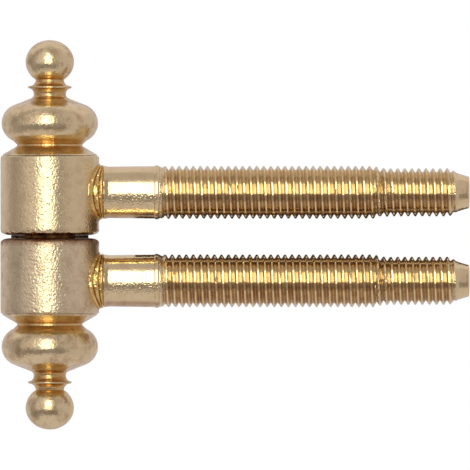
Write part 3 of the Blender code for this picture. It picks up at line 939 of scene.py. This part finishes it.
@dataclass
class Shank:
    """A shank: spigot, upset joint, plain length, raised band, thread and conical tip.

    Args:
        node: the CAD node it stands for.
        body: the CAD body it rides on.
        barrel: the CAD node of the barrel it is joined to.
        axis_height: the height of its axis.
        seed: picks the pattern of its wear.
        groove_radii: the radius between the joint's rings, from the barrel outwards.
        joint_flat: how much lower than wide the joint is at the barrel.
        joint_lumps: how high the lumps of the joint are, and how large.
        lump_level: the mean height of the lumps, as a share of their height.
        rubbed: how far the highest places are rubbed smooth, from 0 to 1.
        rough_band: how far down the plain length turns rough, and smooth again.
        underside_painted_shade: how far down its underside the painted shade lies, and how dark.
    """

    node: str
    body: str
    barrel: str
    axis_height: float
    seed: float
    thread: ThreadTree = field(default_factory=ThreadTree)
    spigot_radius: float = 2.4 * MM
    seat: float = 5.33 * MM
    flange: Ring = Ring(4.95 * MM, 6.15 * MM, 4.34 * MM)
    rings: tuple[Ring, ...] = (
        Ring(6.20 * MM, 6.93 * MM, 4.02 * MM),
        Ring(7.02 * MM, 7.56 * MM, 3.88 * MM),
    )
    groove_radii: Pair = (3.96 * MM, 3.58 * MM)
    plain_start: float = 7.62 * MM
    plain_radius: float = 3.64 * MM
    plain_swell: float = 0.08 * MM
    flare: float = 0.12 * MM
    flare_length: float = 0.5 * MM
    band: Pair = (14.85 * MM, 15.5 * MM)
    band_slope: float = 0.15 * MM
    band_rise: float = 0.11 * MM
    # Darker from the end of the raised band to the start of the thread.
    past_band_darkening: float = 0.35
    tip_cone: tuple[Pair, ...] = (
        (57.95 * MM, 2.68 * MM), (59.12 * MM, 2.32 * MM),
    )
    tip_round: float = 0.30 * MM
    flange_round: float = 0.05 * MM
    lathe_step: float = 0.04 * MM
    cone_step: float = 0.15 * MM
    sharp_degrees: float = 38.0
    # Painted shade in the joint's grooves, fading out up each ring over that height.
    groove_painted_shade: float = 0.7
    shade_fade_height: float = 0.2 * MM
    joint_lumps: Pair = (0.2 * MM, 0.45 * MM)
    joint_flat: float = 0.08
    plain_lumps: Pair = (0.015 * MM, 1.2 * MM)
    lump_level: float = -0.2
    rubbed: float = 0.8
    rough_band: tuple[float, float, float, float] = (0.12, 0.24, 0.6, 0.7)
    underside_painted_shade: Triple = (0.76, 0.86, 0.45)

    def build(self) -> Object:
        """Sweeps the thread, turns the rest of the shank on to its ends and fits it."""
        data = self._thread_mesh()
        mesh = bmesh.new()
        mesh.from_mesh(data)
        self._turn_on(mesh, self.thread.sizes["Start"], self._near_outline())
        end = self.thread.sizes["Start"] + self.thread.sizes["Turns"] * self.thread.sizes["Pitch"]
        self._turn_on(mesh, end, self._tip_outline())
        self._saddle(mesh)
        self._roughen(mesh)
        bmesh.ops.translate(mesh, verts=mesh.verts, vec=(0.0, 0.0, self.axis_height))
        obj = finished(self.node + "_threaded", mesh, self.sharp_degrees)
        return Piece(obj.name, self.body, Finish.ROLLED, (self.node,)).fit(obj)

    def _thread_mesh(self) -> bpy.types.Mesh:
        """Returns the swept thread as a plain mesh with open ends."""
        tree = self.thread.build(self.seed)
        host = bpy.data.objects.new("thread_host", bpy.data.meshes.new("thread_host"))
        bpy.context.scene.collection.objects.link(host)
        modifier = host.modifiers.new("Thread", "NODES")
        modifier.node_group = tree
        sockets = {item.name: item.identifier for item in tree.interface.items_tree
                   if item.in_out == "INPUT"}
        for name, value in self.thread.sizes.items():
            modifier[sockets[name]] = value
        modifier[sockets["Segments"]] = self.thread.segments
        modifier[sockets["Profile Steps"]] = self.thread.profile_steps
        modifier[sockets["Material"]] = Finish.ROLLED.value.material()
        return evaluated_copy(host, self.node + "_thread")

    def _joint(self, distance: float) -> Pair:
        """Returns the radius of the upset joint at that distance, and its painted shade in the
        grooves.
        """
        share = ramp(distance, self.flange.end, self.plain_start)
        near, far = self.groove_radii
        base = near + (far - near) * share
        height = max([ring.height(distance, base) for ring in (self.flange, *self.rings)
                      if ring.start < distance < ring.end], default=0.0)
        return base + height, self.groove_painted_shade - height / self.shade_fade_height

    def _near_outline(self) -> list[Triple]:
        """Returns (distance, radius, dirt and painted shade) points from the thread to the
        spigot's end.
        """
        start, stop = self.band
        outline = []
        distance = self.thread.sizes["Start"]
        while distance > self.seat + self.lathe_step:
            distance -= self.lathe_step
            if distance > self.plain_start:
                share = ramp(distance, self.plain_start, start)
                radius = self.plain_radius + self.plain_swell * share
                radius += self.flare * math.exp(-((distance - self.plain_start)
                                                  / self.flare_length) ** 2)
                rise = min(ramp(distance, start, start + self.band_slope),
                           ramp(distance, stop, stop - self.band_slope))
                radius += self.band_rise * rise * rise * (3.0 - 2.0 * rise)
                grime = self.past_band_darkening if distance > stop else 0.0
            else:
                radius, grime = self._joint(distance)
            outline.append((distance, radius, min(max(grime, 0.0), 1.0)))
        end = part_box(self.node)[0].x
        # Full painted shade where the joint meets the barrel.
        return outline + [(self.seat, self.flange.radius - self.flange_round, 1.0),
                          (self.seat, self.spigot_radius, 0.0), (end, self.spigot_radius, 0.0)]

    def _tip_outline(self) -> list[Triple]:
        """Returns (distance, radius, dirt and painted shade) points from the thread to the flat
        end.
        """
        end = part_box(self.node)[1].x
        cone_end, cone_radius = self.tip_cone[-1]
        rounding = arc((cone_end, cone_radius - self.tip_round),
                       (end - cone_end, self.tip_round), 80.0, 0.0, 6)
        cone = refined(list(self.tip_cone), self.cone_step)
        return [(distance, radius, 0.0) for distance, radius in cone + rounding]

    def _turn_on(self, mesh: BMesh, start: float,
                 outline: list[Triple]) -> None:
        """Carries the open ring at that distance on along an outline, and closes the end."""
        layer = mesh.verts.layers.float["grime"]
        burnish = mesh.verts.layers.float["burnish"]
        filler_and_shade = mesh.verts.layers.float.get("filler_and_shade") or mesh.verts.layers.float.new("filler_and_shade")
        ring = [edge for edge in mesh.edges if edge.is_boundary
                and all(abs(vert.co.x - start) < 0.001 * MM for vert in edge.verts)]
        for distance, radius, grime in outline:
            new = bmesh.ops.extrude_edge_only(mesh, edges=ring)["geom"]
            ring = [item for item in new if isinstance(item, bmesh.types.BMEdge)]
            for vert in (item for item in new if isinstance(item, bmesh.types.BMVert)):
                out = Vector((0.0, vert.co.y, vert.co.z)).normalized() * radius
                vert.co = Vector((distance, out.y, out.z))
                vert[layer] = grime
                vert[burnish] = 0.0 if distance < self.plain_start else self.rubbed
                vert[filler_and_shade] = 1.0 if distance < self.plain_start else 0.0
        bmesh.ops.contextual_create(mesh, geom=ring)

    def _saddle(self, mesh: BMesh) -> None:
        """Bends the upset joint round the barrel's side, so that its rings close up on it."""
        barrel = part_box(self.barrel)[1].x
        first = math.sqrt(barrel**2 - self.flange.radius**2)
        for vert in mesh.verts:
            if not self.seat + 0.001 * MM < vert.co.x < self.plain_start:
                continue
            aside = self.flange.radius * Vector((vert.co.y, vert.co.z)).normalized().x
            wall = math.sqrt(barrel**2 - aside**2)
            share = (vert.co.x - first) / (self.plain_start - first)
            vert.co.x = wall + share * (self.plain_start - wall)
            vert.co.z *= 1.0 - self.joint_flat * (1.0 - max(share, 0.0))

    def _roughen(self, mesh: BMesh) -> None:
        """Makes the upset joint lumpy, the plain length rough lower down, and paints shade under
        it.
        """
        grime = mesh.verts.layers.float["grime"]
        burnish = mesh.verts.layers.float["burnish"]
        for vert in mesh.verts:
            distance = vert.co.x
            if not self.seat < distance < self.thread.sizes["Start"] - 0.02 * MM:
                continue
            at_joint = distance < self.plain_start + 0.1 * MM
            height, size = self.joint_lumps if at_joint else self.plain_lumps
            if not at_joint:
                down = -vert.co.z / math.hypot(vert.co.y, vert.co.z)
                # Painted shade on the underside of the plain length.
                start, end, most = self.underside_painted_shade
                vert[grime] = max(vert[grime], min(ramp(down, start, end), most))
                smooth_to, rough, rough_to, smooth = self.rough_band
                vert[burnish] = self.rubbed * max(ramp(down, rough, smooth_to),
                                                  ramp(down, rough_to, smooth))
            lump = noise.noise(vert.co / size + Vector((self.seed, 0.0, 0.0))) + self.lump_level
            out = Vector((0.0, vert.co.y, vert.co.z)).normalized()
            vert.co += out * lump * height


# -------------------- Pin and washer --------------------


@dataclass
class Bearing:
    """The steel pin, pressed into the lower barrel, and the washer that carries the door leaf."""

    pin_chamfer: float = 0.6 * MM
    washer_bore: float = 3.57 * MM
    washer_edge: float = 0.06 * MM
    washer_burr: float = 0.04 * MM
    washer_dirt_and_shade: float = 0.8
    longest_edges: Pair = (0.5 * MM, 0.2 * MM)
    sharp_degrees: float = 35.0
    segments: int = 128

    def build(self) -> None:
        """Builds and fits both pieces."""
        self._pin()
        self._washer()

    def _pin(self) -> None:
        """Turns the pin with rounded chamfers at both ends."""
        low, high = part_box("hinge_pin")
        radius, chamfer = high.x, self.pin_chamfer
        top = arc((radius - chamfer, high.z - chamfer), (chamfer, chamfer), 90.0, 0.0, 8)
        bottom = arc((radius - chamfer, low.z + chamfer), (chamfer, chamfer), 0.0, -90.0, 8)
        outline = refined([(0.0, high.z)] + top + bottom + [(0.0, low.z)],
                          self.longest_edges[0])
        obj = finished("hinge_pin_ground", turned(outline, self.segments), self.sharp_degrees)
        Piece(obj.name, "frame_leaf", Finish.GROUND, ("hinge_pin",)).fit(obj)

    def _washer(self) -> None:
        """Turns the washer with rounded edges and a fine burr that closes the joint."""
        low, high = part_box("bearing_washer")
        edge, burr = self.washer_edge, self.washer_burr
        outer = arc((high.x - edge, high.z + burr - edge), (edge, edge), 90.0, 0.0, 4)
        outer += arc((high.x - edge, low.z - burr + edge), (edge, edge), 0.0, -90.0, 4)
        inner = [(self.washer_bore, low.z), (self.washer_bore, high.z)]
        outline = refined(outer, self.longest_edges[1]) + inner
        mesh = turned(outline, self.segments, closed=True)
        # Darkens the whole washer: partly oily dirt, partly painted shade of the gap between the
        # barrels.
        mark(mesh, "grime", lambda place: self.washer_dirt_and_shade)
        obj = finished("bearing_washer_stamped", mesh, self.sharp_degrees)
        Piece(obj.name, "washer", Finish.STAMPED, ("bearing_washer",)).fit(obj)


# -------------------- Studio --------------------


@dataclass(frozen=True)
class Card:
    """A soft-edged patch of the studio's surroundings, as the metal sees it.

    Azimuth 0 is towards the camera of the main view and grows towards +X. Angles are degrees.
    """

    level: float
    azimuths: Pair
    elevations: Pair
    softness: float = 8.0


@dataclass
class Studio:
    """Soft studio light, a pale floor and the camera.

    Args:
        centre: the point the camera looks at.
        floor_fade: from which share of the floor's radius to which it fades out.
        horizon: (azimuth, grey) stops of the grey all round, 0 degrees being the camera's side.
        cards: the lighter and darker cards that hang before it.
        tints: the colour of what is dim and of what is bright.
        shadow_flag: opposite corners of the brown strip of painted shadow, and its colour.
        key_size: the width and height of the key light.
        key_offset: where the key light hangs, from the centre.
    """

    centre: Vector
    view_width: float = 66.67 * MM
    camera_distance: float = 1.5
    floor_drop: float = 40.0 * MM
    floor_radius: float = 0.16
    floor_fade: Pair = (0.35, 0.98)
    horizon: tuple[Pair, ...] = (
        (-180.0, 0.63), (-125.0, 0.62), (-95.0, 0.32), (-72.0, 0.44), (-50.0, 0.72),
        (-34.0, 0.72), (27.0, 0.36), (36.0, 0.54), (100.0, 0.56), (180.0, 0.63),
    )
    cards: tuple[Card, ...] = (
        Card(0.50, (-180.0, 180.0), (66.0, 95.0), 14.0),
        Card(0.71, (-180.0, -95.0), (28.0, 80.0), 16.0),
        Card(0.71, (95.0, 180.0), (28.0, 80.0), 16.0),
        Card(0.63, (-180.0, 180.0), (-95.0, -44.0), 8.0),
        Card(0.31, (-80.0, 45.0), (-40.0, -9.0), 8.0),
        Card(1.0, (-23.0, 8.0), (38.0, 52.0), 8.0),
        Card(2.75, (-22.5, 8.5), (-7.0, 44.0), 5.0),
    )
    tints: tuple[tuple[float, ...], ...] = ((1.0, 0.92, 0.99, 1.0), (0.97, 1.0, 0.94, 1.0))
    shadow_flag: tuple[Vector, Vector, str] = (
        Vector((12.0, 7.6, -0.5)) * MM, Vector((62.0, 7.6, 13.0)) * MM, "78644e",
    )
    key_size: Pair = (0.5, 0.4)
    key_power: float = 1.6
    key_colour: Triple = (1.0, 0.985, 0.955)
    key_offset: Vector = Vector((-0.12, -0.45, 0.62))

    def build(self) -> None:
        """Sets up the surroundings, the floor, the key light and the camera."""
        self._surroundings()
        self._floor()
        self._shadow_flag()
        self._key_light()
        self._camera()
        bpy.context.scene.view_settings.view_transform = "Standard"

    def _surroundings(self) -> None:
        """Builds the world: cards for what the metal mirrors, plain white behind the object."""
        world = bpy.data.worlds.new("studio")
        bpy.context.scene.world = world
        world.use_nodes = True
        tree = world.node_tree
        tree.nodes.clear()
        direction = add_node(tree, "ShaderNodeSeparateXYZ",
                             add_node(tree, "ShaderNodeTexCoord").outputs["Generated"]).outputs
        towards = calc(tree, "MULTIPLY", direction["Y"], -1.0)
        azimuth = calc(tree, "DEGREES", calc(tree, "ARCTAN2", direction["X"], towards))
        elevation = calc(tree, "DEGREES", calc(tree, "ARCSINE", direction["Z"]))
        level = self._level(tree, azimuth, elevation)
        seen = add_node(tree, "ShaderNodeBackground", (1.0, 1.0, 1.0, 1.0), 1.0)
        glow = ranged(tree, level, 1.0, 2.0, 0.0, 1.0)
        tint = result(tree, "ShaderNodeMixRGB", glow, *self.tints)
        mirrored = add_node(tree, "ShaderNodeBackground", tint, level)
        rays = add_node(tree, "ShaderNodeLightPath").outputs["Is Camera Ray"]
        mixed = add_node(tree, "ShaderNodeMixShader", rays, mirrored.outputs[0], seen.outputs[0])
        add_node(tree, "ShaderNodeOutputWorld", mixed.outputs[0])

    def _level(self, tree: Tree, azimuth: Socket, elevation: Socket) -> Socket:
        """Returns how bright the surroundings are in that direction, in degrees."""
        horizon = add_node(tree, "ShaderNodeValToRGB", ranged(tree, azimuth, -180.0, 180.0))
        stops = horizon.color_ramp.elements
        while len(stops) < len(self.horizon):
            stops.new(0.5)
        for stop, (angle, grey) in zip(stops, self.horizon):
            stop.position = (angle + 180.0) / 360.0
            stop.color = (grey, grey, grey, 1.0)
        level = horizon.outputs[0]
        for card in self.cards:
            half = card.softness / 2.0
            mask = None
            for angle, (low, high) in ((azimuth, card.azimuths), (elevation, card.elevations)):
                for edge, start, end in ((low, 0.0, 1.0), (high, 1.0, 0.0)):
                    if abs(edge) >= 95.0 and angle is elevation or abs(edge) >= 180.0:
                        continue
                    side = ranged(tree, angle, edge - half, edge + half, start, end,
                                  interpolation_type="SMOOTHSTEP")
                    mask = side if mask is None else calc(tree, "MULTIPLY", mask, side)
            level = result(tree, "ShaderNodeMix", mask, None, level, card.level)
        return level

    def _floor(self) -> None:
        """Lays a pale disc under the hinge, which fades out at its rim."""
        middle = (self.centre.x, 0.0, self.centre.z - self.floor_drop)
        mesh = bmesh.new()
        bmesh.ops.create_circle(mesh, cap_ends=True, segments=96, radius=self.floor_radius)
        bmesh.ops.translate(mesh, verts=mesh.verts, vec=middle)
        floor = self._hung("studio_floor", mesh)
        floor.visible_glossy = False
        paper = self._matt(floor, "matt_white_paper", "f4f4f2", 0.9)
        tree = paper.id_data
        place = add_node(tree, "ShaderNodeTexCoord").outputs["Object"]
        away = add_node(tree, "ShaderNodeVectorMath", place, middle,
                        operation="DISTANCE").outputs["Value"]
        start, end = (share * self.floor_radius for share in self.floor_fade)
        solid = ranged(tree, away, start, end, 1.0, 0.0, interpolation_type="SMOOTHSTEP")
        tree.links.new(solid, paper.inputs["Alpha"])

    def _shadow_flag(self) -> None:
        """Hangs a brown strip behind the gap between the shanks, which only the metal sees: a
        painted shadow in place of the shade behind the shanks.
        """
        low, high, colour = self.shadow_flag
        corners = ((low.x, low.z), (high.x, low.z), (high.x, high.z), (low.x, high.z))
        mesh = bmesh.new()
        mesh.faces.new([mesh.verts.new((x, low.y, z)) for x, z in corners])
        shadow_flag = self._hung("painted_shadow_flag", mesh)
        shadow_flag.visible_camera = False
        shadow_flag.visible_shadow = False
        self._matt(shadow_flag, "painted_shadow_felt", colour, 1.0)

    def _hung(self, name: str, mesh: BMesh) -> Object:
        """Turns a mesh into an object of the stage."""
        data = bpy.data.meshes.new(name)
        mesh.to_mesh(data)
        mesh.free()
        obj = bpy.data.objects.new(name, data)
        bpy.context.scene.collection.objects.link(obj)
        return obj

    def _matt(self, obj: Object, name: str, colour: str,
              roughness: float) -> Node:
        """Covers an object of the stage with a matt material, and returns its shader."""
        material = bpy.data.materials.new(name)
        material.use_nodes = True
        shader = material.node_tree.nodes["Principled BSDF"]
        shader.inputs["Base Color"].default_value = linear(colour)
        shader.inputs["Roughness"].default_value = roughness
        obj.data.materials.append(material)
        return shader

    def _key_light(self) -> None:
        """Hangs one large soft light over the front of the hinge."""
        light = bpy.data.lights.new("key_softbox", "AREA")
        light.shape = "RECTANGLE"
        light.size, light.size_y = self.key_size
        light.energy = self.key_power
        light.color = self.key_colour
        obj = bpy.data.objects.new("key_softbox", light)
        bpy.context.scene.collection.objects.link(obj)
        obj.location = self.centre + self.key_offset
        obj.rotation_mode = "QUATERNION"
        obj.rotation_quaternion = (obj.location - self.centre).to_track_quat("Z", "Y")
        obj.visible_camera = False
        obj.visible_glossy = False

    def _camera(self) -> None:
        """Puts a very long lens square in front of the hinge."""
        camera = bpy.data.cameras.new("camera")
        camera.sensor_width = 36.0
        camera.lens = camera.sensor_width * self.camera_distance / self.view_width
        camera.clip_start = 0.05
        camera.clip_end = 10.0
        obj = bpy.data.objects.new("camera", camera)
        bpy.context.scene.collection.objects.link(obj)
        obj.location = self.centre - Vector((0.0, self.camera_distance, 0.0))
        obj.rotation_euler = (math.pi / 2.0, 0.0, 0.0)
        bpy.context.scene.camera = obj


# -------------------- The hinge --------------------


def main() -> None:
    """Builds the studio and the hinge."""
    logging.basicConfig(level=logging.INFO, format="%(name)s: %(message)s")
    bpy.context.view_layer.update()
    lower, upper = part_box("lower_shank"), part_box("upper_shank")
    lower_axis = (lower[0].z + lower[1].z) / 2.0
    upper_axis = (upper[0].z + upper[1].z) / 2.0
    door_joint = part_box("upper_barrel")[0].z
    Studio(centre=Vector((VIEW_MIDDLE, 0.0, door_joint))).build()

    Barrel("lower_barrel", "frame_leaf", lower_axis, joint_up=True,
           finish=Finish.TUMBLED_COARSE, joint_painted_shade=1.1).build()
    Barrel("upper_barrel", "door_leaf", upper_axis, joint_up=False).build()
    Finial("lower_finial", "frame_leaf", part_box("lower_barrel")[0].z, pointing_up=False).build()
    Finial("upper_finial", "door_leaf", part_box("upper_barrel")[1].z, pointing_up=True).build()
    Shank("lower_shank", "frame_leaf", "lower_barrel", lower_axis, seed=3.0).build()
    Shank("upper_shank", "door_leaf", "upper_barrel", upper_axis, seed=8.0).build()
    Bearing().build()


if __name__ == "__main__":
    main()
